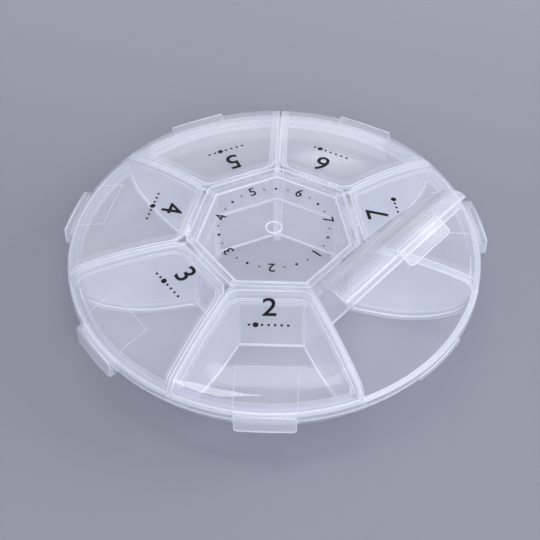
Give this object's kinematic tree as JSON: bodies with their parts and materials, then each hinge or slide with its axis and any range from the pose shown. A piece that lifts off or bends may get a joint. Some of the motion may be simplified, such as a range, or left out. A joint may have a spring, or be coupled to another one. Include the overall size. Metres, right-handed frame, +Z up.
{
  "type": "weekly pill box",
  "caption": "Round weekly pill organizer: a dished tray of wedge-shaped compartments around a hollow column, with a cap and domed snap lids on living hinges.",
  "frame": {"origin": "middle of the round foot, in the plane that the box stands on", "axes": "+Z up through the middle of the cap; -Y towards the middle of the front (second) lid; +X to the right seen from the front"},
  "size_m": [0.0952, 0.0938, 0.0447],
  "materials": {
    "tray_plastic": "satin",
    "lid_plastic": "satin"
  },
  "bodies": {
    "box": {"base_tray": "tray_plastic", "center_cap": "lid_plastic", "hinge_web_mon": "lid_plastic", "hinge_web_tue": "lid_plastic", "hinge_web_wed": "lid_plastic", "hinge_web_thu": "lid_plastic", "hinge_web_fri": "lid_plastic", "hinge_web_sat": "lid_plastic", "hinge_web_sun": "lid_plastic"},
    "lid_mon": {"lid_mon": "lid_plastic"},
    "lid_tue": {"lid_tue": "lid_plastic"},
    "lid_wed": {"lid_wed": "lid_plastic"},
    "lid_thu": {"lid_thu": "lid_plastic"},
    "lid_fri": {"lid_fri": "lid_plastic"},
    "lid_sat": {"lid_sat": "lid_plastic"},
    "lid_sun": {"lid_sun": "lid_plastic"}
  },
  "joints": [
    {"name": "lid_mon_hinge", "type": "hinge", "parent": "box", "child": "lid_mon", "pos_m": [0.01411, -0.01125, 0.02125], "axis": [-0.6235, -0.7818, 0], "range_deg": [-63, 42], "deforming": ["hinge_web_mon"]},
    {"name": "lid_tue_hinge", "type": "hinge", "parent": "box", "child": "lid_tue", "pos_m": [0, -0.01805, 0.02125], "axis": [-1, 0, 0], "range_deg": [0, 35], "deforming": ["hinge_web_tue"]},
    {"name": "lid_wed_hinge", "type": "hinge", "parent": "box", "child": "lid_wed", "pos_m": [-0.01411, -0.01125, 0.02125], "axis": [-0.6235, 0.7818, 0], "range_deg": [0, 105], "deforming": ["hinge_web_wed"]},
    {"name": "lid_thu_hinge", "type": "hinge", "parent": "box", "child": "lid_thu", "pos_m": [-0.0176, 0.00402, 0.02125], "axis": [-0.2225, -0.9749, 0], "range_deg": [-105, 0], "deforming": ["hinge_web_thu"]},
    {"name": "lid_fri_hinge", "type": "hinge", "parent": "box", "child": "lid_fri", "pos_m": [-0.00783, 0.01626, 0.02125], "axis": [0.901, 0.4339, 0], "range_deg": [0, 105], "deforming": ["hinge_web_fri"]},
    {"name": "lid_sat_hinge", "type": "hinge", "parent": "box", "child": "lid_sat", "pos_m": [0.00783, 0.01626, 0.02125], "axis": [-0.901, 0.4339, 0], "range_deg": [-105, 0], "deforming": ["hinge_web_sat"]},
    {"name": "lid_sun_hinge", "type": "hinge", "parent": "box", "child": "lid_sun", "pos_m": [0.0176, 0.00402, 0.02125], "axis": [0.2225, -0.9749, 0], "range_deg": [0, 35], "deforming": ["hinge_web_sun"]}
  ]
}
